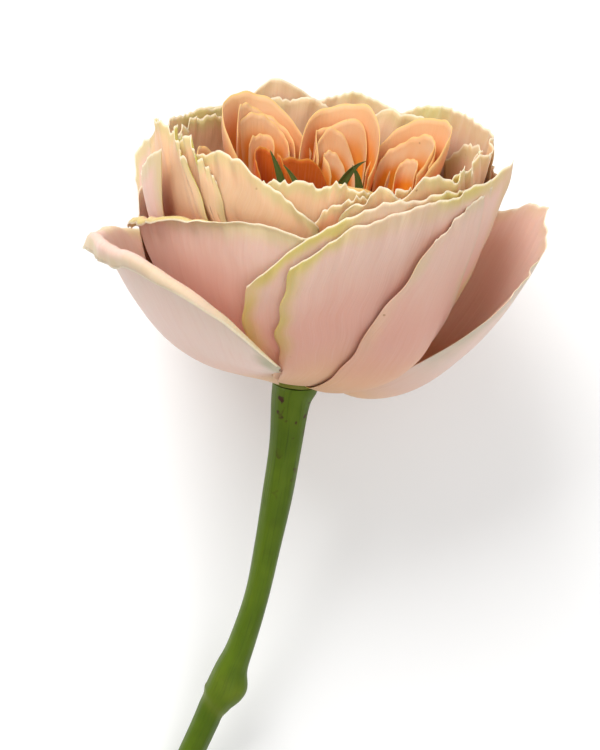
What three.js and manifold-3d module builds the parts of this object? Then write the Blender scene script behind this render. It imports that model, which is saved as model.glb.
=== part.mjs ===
// Garden rose: one cut stem with one full, quartered bloom, lying at rest on its
// two back petals and the cut end of its stem. Millimetres, +Z up.
import * as THREE from 'three';
import Module from 'manifold-3d';
import { mergeVertices } from 'three/addons/utils/BufferGeometryUtils.js';

// ---- driving dimensions -------------------------------------------------
const HEAD_TILT = 18.5;        // degrees the bloom's axis rises from the floor
const HEAD_ROLL = 5.6;         // degrees the bloom's axis turns to the right
const HEAD_BASE_Z = 33.5;      // height of the point where petals meet stem
const PETAL_THICK = 0.4;       // petal, above its narrow claw
const CLAW_THICK = 0.16;       // petal, at its claw
const GAP = 0.08;              // kept clear around every petal
const RECEPTACLE_R = 5.2;      // widest radius of the receptacle
const STEM_SIDES = 14;
const LEAFLET_WIDE = 2.4, LEAFLET_THICK = 0.8;

// stem centre line, seen from above, and its radius there
const STEM = [
  [-0.3, -2.2, 4.7], [-1.3, -6, 3.9], [-2.3, -14.6, 3.3], [-4, -25, 3.1], [-6, -35.4, 2.7], [-8.3, -46, 2.5],
  [-11.6, -56.3, 2.8], [-14, -61.7, 3.2], [-15.6, -65.8, 3.5], [-17.6, -69.5, 2.9], [-20.4, -75.6, 2.7], [-28, -92, 2.7],
];
const STEM_FALL = 0.334;       // drop of the stem's centre line per mm towards its end
const NODE_Y = -64, NODE_BUMP = 0.42;

// radius and height of the nested cups that petals follow, outermost and innermost
const CUP_OUTER = [[6, -0.2], [14, 1.6], [24, 7.8], [30.3, 18.8], [34.2, 32.5], [35.6, 43], [35.9, 56]];
const CUP_INNER = [[3.2, 2.6], [7, 5.6], [15, 14], [21, 25.5], [24.5, 38], [25.5, 47], [26, 58]];
const GUARD_LEFT = [[6.5, -1.1], [14, 0.9], [21, 3.5], [27.5, 8], [33.6, 15], [38.3, 22], [41.5, 27], [44.5, 31], [47.5, 34]];
const GUARD_RIGHT = [[6.5, -1.3], [14, -0.8], [22, 3.2], [29, 10.5], [34.2, 18], [39, 26.5], [43.5, 34.5], [47.5, 42], [49, 47]];
const GUARD_BACK = [[6.5, -1.3], [16, -0.9], [28, 6.2], [36, 16.5], [43, 24.8], [50, 30], [58, 34.6]];
const GUARD_BACK_IN = [[6.3, -0.85], [15.6, -0.2], [27.2, 7.3], [35, 17.6], [42, 26], [49.4, 31.4], [57.6, 36]];
const GUARD_SIDE_IN = [[6.3, -0.85], [14.4, -0.3], [24.8, 5.8], [31.2, 17.5], [35.2, 31.5], [36.6, 43]];

const radians = (a) => a * Math.PI / 180;

// name, cup level or own profile, then angles of the left and right edges from
// claw to tip, then the height of the top edge from left to right. reach moves the
// upper part outward, belly swells the middle, lip and curl fold the top edge over
const shaped = (name, level, left, right, tops, more = {}) => ({
  name, left, right, tops, reach: [0, 0, 0], lip: [0, 0], curl: [0, 0], belly: [0, 0],
  profile: Array.isArray(level) ? level : CUP_OUTER.map((p, i) => p.map((v, k) => v + (CUP_INNER[i][k] - v) * level)), ...more,
});
const rounded = (name, level, turn, half, top, more) => {
  const w = more?.narrow ? [0.35, 0.9, 1, 0.9, 0.6] : [0.35, 0.85, 1, 1, 0.9];
  return shaped(name, level, w.map((v) => turn - half * v), w.map((v) => turn + half * v), more?.tops ?? [top - 6, top - 1, top, top - 1, top - 6], more);
};

const CUP_PETALS = [
  shaped('guard_left', GUARD_LEFT, [-100, -114, -118, -116], [-30, -16, -8, -7], [22, 28.5, 33.5, 29, 11.5],
    { lip: [1, 4, 6, 3.4, 0.6], curl: [30, 100, 160, 160, 60], belly: [1, 1, 0.3, -1.2, -3], rows: 10 }),
  shaped('guard_right', GUARD_RIGHT, [62, 64, 66, 66], [112, 122, 124, 122], [24.5, 31, 38.4, 34.5, 30],
    { reach: [5, 4, 0.3, -1.5, -3], belly: [-1.5, 3.4, 4, 2.2, 0] }),
  rounded('guard_back_b', GUARD_BACK, 211, 34, 34.5, { rows: 11, narrow: true }),
  rounded('guard_back_a', GUARD_BACK_IN, 161, 31, 35.8, { rows: 11, narrow: true }),
  rounded('guard_back_c', GUARD_SIDE_IN, 240, 32, 34),
  shaped('outer_f', 0.0, [10, 17, 26, 40], [70, 72, 65, 68], [38, 40.5, 42.5, 44.2, 45.5], { reach: [1.2, 0.3, 0, 0, 0.6], belly: [0, 1.4, 2, 1.4, 0] }),
  shaped('outer_e', 0.09, [-25, -9, -9, -5], [30, 70, 72, 80], [32, 41.5, 44.5, 46.5, 49.3], { reach: [1.3, 0.2, 0, 0.4, 3] }),
  shaped('outer_d', 0.18, [-30, -16, -22, -20], [25, 45, 55, 60], [26, 38, 44.5, 46, 46], { reach: [1.3, 0.2, 0, 0, 0] }),
  shaped('outer_b', 0.27, [-80, -100, -110, -112], [-20, 0, 4, 4], [24, 32, 37.5, 38.4, 37.8],
    { reach: [5, 3.4, 1.4, 0, 0], lip: [1.6, 3.4, 3.0, 1, 0.5], curl: [50, 150, 160, 80, 20], rows: 9 }),
  rounded('outer_h', 0.2, 98, 34, 44, { reach: [0.3, 1.4, 2, 1.4, 0.3] }),
  rounded('outer_i', 0.09, 140, 34, 45, { reach: [2, 0.8, 0, 0, 0] }),
  rounded('outer_k', 0.09, 222, 32, 41),
  rounded('outer_j', 0.2, 185, 36, 45),
  shaped('outer_c', 0.36, [-102, -118, -118, -112], [-84, -66, -63, -64], [33, 36, 38.5, 43, 47], { reach: [3, 3.2, 2.8, 2.2, 1.4] }),
  rounded('wall_h', 0.48, 170, 24, 51, { tops: [48.6, 50, 51.2, 48.6, 46] }),
  rounded('wall_j', 0.5, 232, 30, 47, { tops: [48, 48, 47.4, 47.2, 47] }),
  shaped('wall_f', 0.48, [70, 54, 49, 52], [90, 100, 104, 100], [47, 48, 49, 50, 50.5], { reach: [0, 0.3, 1, 2, 2.6] }),
  shaped('wall_a', 0.58, [-80, -94, -97, -94], [-34, -28, -36, -50], [49, 50, 50.5, 50, 47], { reach: [3, 1.6, 0.6, 0.6, 1.4] }),
  shaped('wall_b', 0.65, [-70, -78, -80, -78], [-28, -20, -28, -40], [45, 49, 50, 49, 45], { reach: [0, 0, 0.5, 1] }),
  rounded('wall_i', 0.39, 198, 33, 52, { tops: [45.5, 48.3, 52.2, 47.8, 47] }),
  rounded('wall_g', 0.39, 124, 30, 52, { tops: [50.5, 51.2, 52.3, 51.6, 48.5], reach: [3, 2, 0.8, 0.2, 0] }),
  shaped('wall_e', 0.39, [-5, 2, 8, 12], [40, 60, 66, 66], [44, 46.5, 48, 49, 48.5]),
  shaped('wall_c', 0.72, [-50, -58, -60, -60], [-10, 0, 2, 2], [47, 49, 48.5, 44.5, 38.5], { reach: [0, 0, 0.6, 1.6] }),
  shaped('wall_d', 0.79, [-20, -30, -32, -30], [14, 20, 22, 22], [45.5, 46.5, 46.5, 47, 45.5]),
  rounded('rim_b', 0.6, 22, 24, 45.5),
  rounded('rim_d', 0.58, 98, 26, 48.5, { reach: [0, 1, 2, 2, 1] }),
  rounded('rim_f', 0.58, 190, 28, 49),
  rounded('rim_h', 0.8, 268, 24, 47),
  rounded('rim_a', 0.92, -48, 24, 46.5),
  rounded('rim_c', 0.82, 48, 26, 46),
  rounded('rim_e', 0.67, 145, 28, 49.5),
  rounded('rim_g', 0.67, 235, 28, 46.5),
];

// the quarters: folded petals nested around centres of their own. name, angle, distance,
// half depth, half width, top height, fall inwards, which way each petal's fold faces
const QUARTERS = [
  ['quarter_a', 221, 16.6, 8.2, 9.0, 51.6, 7.5, [180, 214, 244, 262]],
  ['quarter_b', 163, 12.6, 7.2, 7.4, 51.0, 9, [176, 156, 140, 124]],
  ['quarter_c', 117, 19.6, 7.4, 7.6, 50.8, 7, [158, 140, 164, 132]],
  ['quarter_d', 26, 16.0, 7.0, 8.6, 45.0, 5, [180, 200, 160, 180]],
  ['quarter_e', 284, 17.4, 6.4, 7.6, 45.2, 6.5, [180, 180, 180, 180]],
  ['hub_1', 222, 4.0, 3.4, 6.6, 44.4, 2, [150]],
  ['hub_2', 262, 9.6, 3.0, 3.6, 44.6, 2, [215]],
];
// how much higher one side of each nested petal stands
const SLANT = {
  quarter_a: [-0.8, -2.4, -3.0, -3.2], quarter_b: [-0.6, -1.6, -2.2, -2.6], quarter_c: [0.8, 1.6, 2.0, 2.2],
  quarter_d: [1.2, 0.8, 0.6, 0.4], quarter_e: [0.4, -0.4, 0.6, -0.6], hub_1: [-2.2], hub_2: [0.6],
};
const NEST_SCALE = [1, 0.78, 0.56, 0.35];
const NEST_SPREAD = [112, 104, 100, 112];
const NEST_DROP = [0, 1.4, 2.8, 4.6];
const NEST_OPEN = [0.08, -0.06, 0.12, -0.10];

// the narrow green leaflets at the heart: foot, bend and tip as right, viewer side, height
const LEAFLETS = [
  ['leaflet_a', [-2.6, 1.4, 14], [-3.8, 3.6, 37], [-9.4, 2.0, 45.4]],
  ['leaflet_b', [-0.6, 2.6, 14], [1.6, 5.4, 37], [-6.6, 4.2, 43.4]],
  ['leaflet_c', [1.8, 1.0, 14], [2.4, 2.4, 43], [9.4, 1.6, 45.0]],
  ['leaflet_d', [3.4, 3.0, 14], [12.0, 4.6, 38.5], [6.8, 3.4, 44.4]],
];

// ---- frame of the bloom -------------------------------------------------
const tilt = radians(HEAD_TILT), roll = radians(HEAD_ROLL);
const AXIS = new THREE.Vector3(Math.sin(roll) * Math.cos(tilt), Math.cos(roll) * Math.cos(tilt), Math.sin(tilt));
const RIGHT = new THREE.Vector3(Math.cos(roll), -Math.sin(roll), 0);
const UPPER = new THREE.Vector3().crossVectors(RIGHT, AXIS);
const inHead = (right, upper, height) => new THREE.Vector3(0, 0, HEAD_BASE_Z)
  .addScaledVector(RIGHT, right).addScaledVector(UPPER, upper).addScaledVector(AXIS, height);

// ---- curves -------------------------------------------------------------
const clamp = (v, lo, hi) => Math.min(hi, Math.max(lo, v));
const smooth = (a, b, x) => { const t = clamp((x - a) / (b - a), 0, 1); return t * t * (3 - 2 * t); };
const cubic = (a, b, c, d, t) => 0.5 * (2 * b + (c - a) * t + (2 * a - 5 * b + 4 * c - d) * t * t + (3 * b - a - 3 * c + d) * t * t * t);
function along(values, x) {
  const n = values.length - 1, y = clamp(x, 0, 1) * n, i = Math.min(Math.floor(y), n - 1);
  const at = (k) => (k < 0 ? 2 * values[0] - values[1] : k > n ? 2 * values[n] - values[n - 1] : values[k]);
  return cubic(at(i - 1), at(i), at(i + 1), at(i + 2), y - i);
}
function evenCurve(points, count) {
  const n = points.length - 1, fine = [];
  for (let k = 0; k <= n * 24; k++) fine.push(points[0].map((_, axis) => along(points.map((p) => p[axis]), k / (n * 24))));
  const len = [0];
  for (let k = 1; k < fine.length; k++) len.push(len[k - 1] + Math.hypot(fine[k][0] - fine[k - 1][0], fine[k][1] - fine[k - 1][1]));
  const out = [];
  for (let k = 0, j = 0; k < count; k++) {
    const l = len[len.length - 1] * k / (count - 1);
    while (j < len.length - 2 && len[j + 1] < l) j++;
    const t = clamp((l - len[j]) / (len[j + 1] - len[j]), 0, 1);
    out.push([l, ...fine[j].map((v, axis) => v + (fine[j + 1][axis] - v) * t)]);
  }
  return out;      // length, then the point
}
function reader(curve) {
  const step = curve[1][0];
  return (l) => {
    const y = clamp(l / step, 0, curve.length - 1), i = Math.min(Math.floor(y), curve.length - 2), t = y - i;
    return [curve[i][1] + (curve[i + 1][1] - curve[i][1]) * t, curve[i][2] + (curve[i + 1][2] - curve[i][2]) * t];
  };
}
function lengthAt(curve, height) {
  let top = -Infinity;
  for (let i = 1; i < curve.length; i++) {
    const before = Math.max(top, curve[i - 1][2]);
    top = Math.max(before, curve[i][2]);
    if (curve[i][2] >= height) return curve[i][0] - (curve[i][2] - height) / Math.max(curve[i][2] - before, 1e-6) * curve[1][0];
  }
  return curve[curve.length - 1][0];
}

// ---- middle surface of a cup or guard petal -----------------------------
function cupPetalPoint(P, curve, read, c, t) {
  const lips = Math.max(...P.lip), x = lips > 2 ? 1 - (1 - t) ** 1.7 : t;      // closer rows where the edge folds
  const total = lengthAt(curve, along(P.tops, c));
  const L = x * total;
  let [rho, h] = read(L);
  const phi = radians(along(P.left, x) + (along(P.right, x) - along(P.left, x)) * c);
  const extra = along(P.reach, c) * smooth(0.25, 1, x);
  if (lips > 0) {
    const lip = Math.max(along(P.lip, c), 0.01), turn = Math.max(radians(along(P.curl, c)), 1e-3);
    const edge = clamp(L - (total - lip), 0, lip), r = Math.min(lip / turn, 1.1);
    if (edge > 0) {
      const [r0, h0] = read(total - lip), [r1, h1] = read(total - lip - 0.6);
      const n = Math.max(Math.hypot(r0 - r1, h0 - h1), 1e-6), tr = (r0 - r1) / n, th = (h0 - h1) / n;
      const bent = Math.min(edge, r * turn);
      const fwd = r * Math.sin(bent / r) + (edge - bent) * Math.cos(turn), out = r * (1 - Math.cos(bent / r)) + (edge - bent) * Math.sin(turn);
      rho = r0 + tr * fwd + th * out;
      h = h0 + th * fwd - tr * out;
    }
  }
  const sag = along(P.belly, c) * Math.sin(Math.PI * x ** 0.8);
  const [ra, ha] = read(L - 0.6), [rb, hb] = read(L + 0.6), slope = Math.max(Math.hypot(rb - ra, hb - ha), 1e-6);
  rho += extra + sag * (hb - ha) / slope;
  h -= sag * (rb - ra) / slope;
  return inHead(rho * Math.sin(phi), rho * Math.cos(phi), h);
}

// ---- middle surface of a folded quarter petal ---------------------------
function quarterPetalPoint([name, az, dist, deep, wide, top, fall, faces], index, c, x) {
  const s = 2 * c - 1, psi = radians(faces[index] + s * NEST_SPREAD[index]);
  const scale = NEST_SCALE[index] * (1 + NEST_OPEN[index] * smooth(0.6, 1, x));
  const grow = 0.27 + 0.73 * smooth(-0.15, 1, x) ** 1.1;
  const u = -deep * Math.cos(psi) * scale, v = wide * Math.sin(psi) * scale;
  const radial = (dist + u) * grow, side = v * grow, a = radians(az);
  const rise = top - 4.5 - NEST_DROP[index] + fall * (u / deep - 1) * 0.5 + SLANT[name][index] * s;
  const h = 4.5 + rise * x * (1 - 0.12 * Math.abs(s) ** 2.5);
  return inHead(radial * Math.sin(a) + side * Math.cos(a), radial * Math.cos(a) - side * Math.sin(a), h);
}

// ---- closed solids ------------------------------------------------------
// a sheet of points made into one closed shell, at its full thickness from firm upward
function closedSheet(point, columns, rows, extra, pressed, firm = 0.35) {
  const mid = [], at = (i, j) => mid[j * (columns + 1) + i];
  for (let j = 0; j <= rows; j++) for (let i = 0; i <= columns; i++) mid.push(point(i / columns, j / rows));
  const inner = [], outer = [];
  for (let j = 0; j <= rows; j++) for (let i = 0; i <= columns; i++) {
    const a = at(Math.min(i + 1, columns), j).clone().sub(at(Math.max(i - 1, 0), j));
    const b = at(i, Math.min(j + 1, rows)).clone().sub(at(i, Math.max(j - 1, 0)));
    const n = a.cross(b).normalize();
    const thick = (CLAW_THICK + (PETAL_THICK - CLAW_THICK) * smooth(0.02, firm, j / rows)) / 2 + extra;
    const p = at(i, j).clone().addScaledVector(n, thick), q = at(i, j).clone().addScaledVector(n, -thick);
    if (pressed) {      // lies flat where the floor carries it
      const lift = 2 * thick;
      const low = p.z < q.z ? p : q, high = p.z < q.z ? q : p;
      low.z = Math.max(low.z, -extra);
      high.z = Math.max(high.z, low.z + Math.min(lift, high.z < lift ? lift : 0.05));
    }
    outer.push(p); inner.push(q);
  }
  const points = [...outer, ...inner], N = outer.length, faces = [];
  const id = (i, j, side) => side * N + j * (columns + 1) + i;
  const quad = (a, b, c, d) => faces.push(a, b, c, a, c, d);
  for (let j = 0; j < rows; j++) for (let i = 0; i < columns; i++) {
    quad(id(i, j, 0), id(i + 1, j, 0), id(i + 1, j + 1, 0), id(i, j + 1, 0));
    quad(id(i, j, 1), id(i, j + 1, 1), id(i + 1, j + 1, 1), id(i + 1, j, 1));
  }
  for (let i = 0; i < columns; i++) {
    quad(id(i, 0, 1), id(i + 1, 0, 1), id(i + 1, 0, 0), id(i, 0, 0));
    quad(id(i, rows, 0), id(i + 1, rows, 0), id(i + 1, rows, 1), id(i, rows, 1));
  }
  for (let j = 0; j < rows; j++) {
    quad(id(0, j, 0), id(0, j + 1, 0), id(0, j + 1, 1), id(0, j, 1));
    quad(id(columns, j, 1), id(columns, j + 1, 1), id(columns, j + 1, 0), id(columns, j, 0));
  }
  return geometryOf(points, faces);
}

function geometryOf(points, faces) {
  const g = new THREE.BufferGeometry();
  g.setAttribute('position', new THREE.Float32BufferAttribute(points.flatMap((p) => [p.x, p.y, p.z]), 3));
  g.setIndex(faces);
  return g;
}

// rings of points, each the same count, closed at both ends by a fan
function closedTube(rings, foot, tip) {
  const n = rings[0].length, points = [...rings.flat(), foot, tip], faces = [];
  const F = rings.length * n, T = F + 1;
  for (let k = 0; k < rings.length - 1; k++) for (let i = 0; i < n; i++) {
    const a = k * n + i, b = k * n + (i + 1) % n;
    faces.push(a, b, b + n, a, b + n, a + n);
  }
  for (let i = 0; i < n; i++) {
    faces.push(F, (i + 1) % n, i);
    faces.push(T, F - n + i, F - n + (i + 1) % n);
  }
  return geometryOf(points, faces);
}

function stemSolid() {
  const curve = evenCurve(STEM, 24);
  const rings = [];
  const centre = (k) => {
    const [, x, y] = curve[k];
    return new THREE.Vector3(x, y, HEAD_BASE_Z + STEM_FALL * y);
  };
  const last = curve.length - 1;
  const shift = (k) => {      // settles the cut end onto the floor
    const r = curve[last][3] * 0.948, z = centre(last).z;
    return (r - z) * smooth(0.75, 1, k / last);
  };
  let foot, tip;
  for (let k = 0; k <= last; k++) {
    const c = centre(k);
    c.z += shift(k);
    const next = centre(Math.min(k + 1, last)), before = centre(Math.max(k - 1, 0));
    const t = k === 0 ? AXIS.clone() : before.sub(next).normalize();
    const side = new THREE.Vector3().crossVectors(t, new THREE.Vector3(0, 0, 1)).normalize();
    const up = new THREE.Vector3().crossVectors(side, t).normalize();
    const ring = [];
    for (let i = 0; i < STEM_SIDES; i++) {
      const a = 2 * Math.PI * i / STEM_SIDES;
      const bump = NODE_BUMP * Math.exp(-(((c.y - NODE_Y) / 3.2) ** 2)) * Math.max(0, Math.cos(a)) ** 3;
      const r = curve[k][3] * (1 + bump);
      ring.push(c.clone().addScaledVector(side, r * Math.cos(a)).addScaledVector(up, r * Math.sin(a)));
    }
    rings.push(ring);
    if (k === 0) foot = c;
    if (k === last) tip = c;
  }
  return closedTube(rings.map((r) => r.slice().reverse()), foot, tip);
}

function receptacleSolid() {
  const outline = [[4.5, -2.0], [RECEPTACLE_R, -1.9], [RECEPTACLE_R, -1.7], [4.7, -0.7], [4.0, 0.5], [3.5, 1.5], [3.1, 2.6], [2.7, 3.4], [1.6, 3.9]];
  const rings = outline.map(([r, h]) => Array.from({ length: 20 }, (_, i) => {
    const a = 2 * Math.PI * i / 20;
    return inHead(r * Math.cos(a), r * Math.sin(a), h);
  }));
  return closedTube(rings.map((r) => r.slice().reverse()), inHead(0, 0, -2.0), inHead(0, 0, 4.05));
}

function leafletSolid([, foot, bend, tip]) {
  const rings = [];
  for (let k = 0; k <= 7; k++) {
    const t = k / 8, w = LEAFLET_WIDE / 2 * Math.sin(Math.PI * (0.18 + 0.82 * t)) ** 0.8;
    const p = foot.map((v, i) => (1 - t) ** 2 * v + 2 * t * (1 - t) * bend[i] + t * t * tip[i]);
    rings.push(Array.from({ length: 8 }, (_, i) => {
      const a = 2 * Math.PI * i / 8;
      return inHead(p[0] + w * Math.cos(a), p[1] + (LEAFLET_THICK / 2) * Math.sin(a) * Math.min(1, w), p[2]);
    }));
  }
  return closedTube(rings.map((r) => r.slice().reverse()), inHead(foot[0], foot[1], foot[2] - 0.05), inHead(...tip));
}

// ---- joins and cuts -----------------------------------------------------
const wasm = await Module();
wasm.setup();

function toManifold(geometry) {
  const g = mergeVertices(geometry, 1e-5);
  const m = new wasm.Manifold(new wasm.Mesh({
    numProp: 3, vertProperties: Float32Array.from(g.attributes.position.array), triVerts: Uint32Array.from(g.index.array),
  }));
  return m;
}
function toGeometry(manifold) {
  const mesh = manifold.getMesh(), g = new THREE.BufferGeometry();
  g.setAttribute('position', new THREE.BufferAttribute(Float32Array.from(mesh.vertProperties), 3));
  g.setIndex(new THREE.BufferAttribute(Uint32Array.from(mesh.triVerts), 1));
  return g;
}
const apart = (a, b) => {
  const p = a.boundingBox(), q = b.boundingBox();
  return [0, 1, 2].some((k) => p.max[k] < q.min[k] || q.max[k] < p.min[k]);
};
const largest = (m) => m.decompose().sort((a, b) => b.volume() - a.volume())[0];

const solids = [];      // name, colour, solid, the room that it keeps
function place(name, color, geometry, room) {
  let solid = toManifold(geometry);
  for (const other of solids) {
    if (apart(solid, other.room)) continue;
    if (solid.intersect(other.room).volume() > 1e-5) solid = largest(solid.subtract(other.room));
    if (solid.intersect(other.solid).volume() > 1e-5) solid = largest(solid.subtract(other.solid));
  }
  solids.push({ name, color, solid, room: room ? toManifold(room) : solid });
}

const flipped = (g) => {      // turns a shell's faces outward where its sheet runs the other way
  const index = Array.from(g.index.array);
  for (let i = 0; i < index.length; i += 3) [index[i + 1], index[i + 2]] = [index[i + 2], index[i + 1]];
  g.setIndex(index);
  return g;
};
function outward(g) {
  const p = g.attributes.position, id = g.index.array;
  let volume = 0;
  const v = (k) => new THREE.Vector3().fromBufferAttribute(p, id[k]);
  for (let i = 0; i < id.length; i += 3) volume += v(i).dot(v(i + 1).cross(v(i + 2)));
  return volume < 0 ? flipped(g) : g;
}

place('stem', '#6f8f3c', outward(stemSolid()));
place('receptacle', '#a9a24a', outward(receptacleSolid()));
for (const L of LEAFLETS) place(L[0], '#4c6b34', outward(leafletSolid(L)));

for (const P of CUP_PETALS) {
  const curve = evenCurve(P.profile, 400), read = reader(curve);
  const point = (c, x) => cupPetalPoint(P, curve, read, c, x);
  const pressed = P.name.startsWith('guard_back');
  const sheet = (extra) => outward(closedSheet(point, 7, P.rows ?? 7, extra, pressed));
  const tone = { guard: '#efc6b4', outer: '#f0c0a6', wall: '#f2cba8', rim: '#f3c696' }[P.name.split('_')[0]];
  place(P.name, tone, sheet(0), sheet(GAP));
}
for (const Q of QUARTERS) {
  const isHub = Q[0].startsWith('hub');
  for (let k = 0; k < Q[7].length; k++) {
    const point = (c, x) => quarterPetalPoint(Q, k, c, x);
    const tone = isHub ? '#e2713a' : ['#f4bf92', '#f3b27c', '#f2a566', '#ef9450'][k];
    place(isHub ? Q[0] : `${Q[0]}_${k + 1}`, tone, outward(closedSheet(point, 11, 4, 0, false, 1.2)), outward(closedSheet(point, 11, 4, GAP, false, 1.2)));
  }
}

// ---- the assembly, its origin under the middle of its own box ------------
const box = new THREE.Box3();
const meshes = solids.map(({ name, color, solid }) => {
  const geometry = toGeometry(solid);
  geometry.computeBoundingBox();
  box.union(geometry.boundingBox);
  const material = new THREE.MeshStandardMaterial({ color, roughness: name === 'stem' ? 0.5 : 0.62, metalness: 0 });
  material.name = name === 'stem' ? 'stem_green' : name.startsWith('leaflet') ? 'leaflet_green' : name === 'receptacle' ? 'receptacle_green' : `petal_${name.split('_')[0]}`;
  const mesh = new THREE.Mesh(geometry, material);
  mesh.name = name;
  return mesh;
});
const rose = new THREE.Group();
rose.name = 'garden_rose';
for (const mesh of meshes) {
  mesh.geometry.translate(-(box.min.x + box.max.x) / 2, -(box.min.y + box.max.y) / 2, -box.min.z);
  mesh.geometry.computeVertexNormals();
  rose.add(mesh);
}

export default rose;
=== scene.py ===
"""Garden rose: a cut stem and one full, quartered bloom, lying at rest."""
import math
import random

import bpy
import numpy as np
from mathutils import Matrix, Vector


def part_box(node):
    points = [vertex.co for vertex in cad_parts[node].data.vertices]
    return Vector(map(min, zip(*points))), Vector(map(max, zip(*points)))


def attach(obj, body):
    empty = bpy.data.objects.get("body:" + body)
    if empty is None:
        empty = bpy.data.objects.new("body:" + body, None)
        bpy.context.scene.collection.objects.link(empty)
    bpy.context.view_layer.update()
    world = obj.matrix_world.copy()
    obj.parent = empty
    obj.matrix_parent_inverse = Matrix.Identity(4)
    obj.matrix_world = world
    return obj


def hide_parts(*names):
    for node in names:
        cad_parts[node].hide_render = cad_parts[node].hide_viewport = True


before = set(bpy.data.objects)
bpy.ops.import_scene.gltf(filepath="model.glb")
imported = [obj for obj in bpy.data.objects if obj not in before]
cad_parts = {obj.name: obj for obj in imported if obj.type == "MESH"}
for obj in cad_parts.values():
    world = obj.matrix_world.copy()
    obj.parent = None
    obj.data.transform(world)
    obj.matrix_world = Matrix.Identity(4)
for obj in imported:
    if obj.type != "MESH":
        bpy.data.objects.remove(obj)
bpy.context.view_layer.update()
bpy.ops.object.select_all(action="DESELECT")

MM = 0.001
PETAL_THICK, QUARTER_THICK, LEAFLET_THICK = 0.34, 0.32, 0.5
LIP_RADIUS = 1.1               # mm, the widest bend of a folded petal lip
STEP_MM = 0.6                  # mm, the step that a profile's slope is measured over
CLAW_HEIGHT = 4.5              # mm, where the quarter petals start above the stem
HEAD_HEIGHT, STEM_FALL = 33.5, 0.334   # mm above the floor, and mm down per mm along the stem
NODE_Y = -64                   # mm, middle of the stem's node
FLOOR_DROP = 0.0004            # m, clearance under the flower
TILT, ROLL = math.radians(18.5), math.radians(5.6)
AXIS = np.array([math.sin(ROLL) * math.cos(TILT), math.cos(ROLL) * math.cos(TILT), math.sin(TILT)])
RIGHT = np.array([math.cos(ROLL), -math.sin(ROLL), 0.0])
UPPER = np.cross(RIGHT, AXIS)

# where the petals meet the stem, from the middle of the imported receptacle
low, high = (np.array(corner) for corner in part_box("receptacle"))
BASE = (low + high) / 2 - np.array([-0.16657, 0.34892, -0.57115]) * MM


def in_head(points):
    """Bloom coordinates in mm (right, up from the floor side, along the axis) to metres in the frame."""
    p = np.asarray(points, float) * MM
    return BASE + p[..., 0:1] * RIGHT + p[..., 1:2] * UPPER + p[..., 2:3] * AXIS


# ---------------------------------------------------------------- curves
def smooth(a, b, x):
    t = np.clip((x - a) / (b - a), 0, 1)
    return t * t * (3 - 2 * t)


def along(values, x):
    """A smooth value through evenly spaced stations, x from 0 to 1."""
    v = np.array([2 * values[0] - values[1], *values, 2 * values[-1] - values[-2]], float)
    n = len(values) - 1
    y = np.clip(x, 0, 1) * n
    i = np.minimum(y.astype(int), n - 1)
    t = y - i
    a, b, c, d = v[i], v[i + 1], v[i + 2], v[i + 3]
    return 0.5 * (2 * b + (c - a) * t + (2 * a - 5 * b + 4 * c - d) * t ** 2 + (3 * b - a - 3 * c + d) * t ** 3)


def even_curve(points, count):
    """Length and coordinates of a smooth curve, at even steps along it."""
    p = np.array(points, float)
    x = np.linspace(0, 1, (len(p) - 1) * 24 + 1)
    q = np.stack([along(p[:, k], x) for k in range(p.shape[1])], 1)
    l = np.concatenate([[0], np.cumsum(np.hypot(np.diff(q[:, 0]), np.diff(q[:, 1])))])
    u = np.linspace(0, l[-1], count)
    return (u, *[np.interp(u, l, q[:, k]) for k in range(q.shape[1])])


def ripples(seed, count, lo, hi):
    rng = random.Random(seed)
    return [(rng.uniform(lo, hi), rng.uniform(0, 2 * math.pi), rng.uniform(0.5, 1)) for _ in range(count)]


def ripple(waves, x):
    return sum(a * np.sin(f * x + p) for f, p, a in waves) / math.sqrt(len(waves))


# ---------------------------------------------------------------- the bloom's cups
CUP_OUTER = np.array([(6, -0.2), (14, 1.6), (24, 7.8), (30.3, 18.8), (34.2, 32.5), (35.6, 43), (35.9, 56)], float)
CUP_INNER = np.array([(3.2, 2.6), (7, 5.6), (15, 14), (21, 25.5), (24.5, 38), (25.5, 47), (26, 58)], float)
GUARD_LEFT = [(6.5, -1.1), (14, 0.9), (21, 3.5), (27.5, 8.0), (33.6, 15.0), (38.3, 22.0), (41.5, 27), (44.5, 31),
              (47.5, 34)]
GUARD_RIGHT = [(6.5, -1.3), (14, -0.8), (22, 3.2), (29, 10.5), (34.2, 18), (39, 26.5), (43.5, 34.5), (47.5, 42),
               (49, 47)]
GUARD_BACK = [(6.5, -1.3), (16, -0.9), (28, 6.2), (36, 16.5), (43, 24.8), (50, 30), (58, 34.6)]
GUARD_BACK_IN = [(6.3, -0.85), (15.6, -0.2), (27.2, 7.3), (35, 17.6), (42, 26), (49.4, 31.4), (57.6, 36)]
GUARD_SIDE_IN = [(6.3, -0.85), (14.4, -0.3), (24.8, 5.8), (31.2, 17.5), (35.2, 31.5), (36.6, 43)]


def seed_of(name):
    return sum(ord(c) * (i + 3) for i, c in enumerate(name))


def shaped(name, level, left, right, tops, **more):
    d = dict(name=name, left=left, right=right, tops=tops, reach=[0, 0, 0], lip=[0, 0], curl=[0, 0], rag=0.5,
             ruffle=0.7, frill=5.0, belly=[0, 0],
             profile=level if isinstance(level, list) else CUP_OUTER + (CUP_INNER - CUP_OUTER) * level)
    d.update(more)
    return d


def rounded(name, level, turn, half, top, **more):
    w = [0.35, 0.9, 1, 0.9, 0.6] if more.pop("narrow", False) else [0.35, 0.85, 1, 1, 0.9]
    tops = more.pop("tops", [top - 6, top - 1, top, top - 1, top - 6])
    return shaped(name, level, [turn - half * v for v in w], [turn + half * v for v in w], tops, **more)


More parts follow.
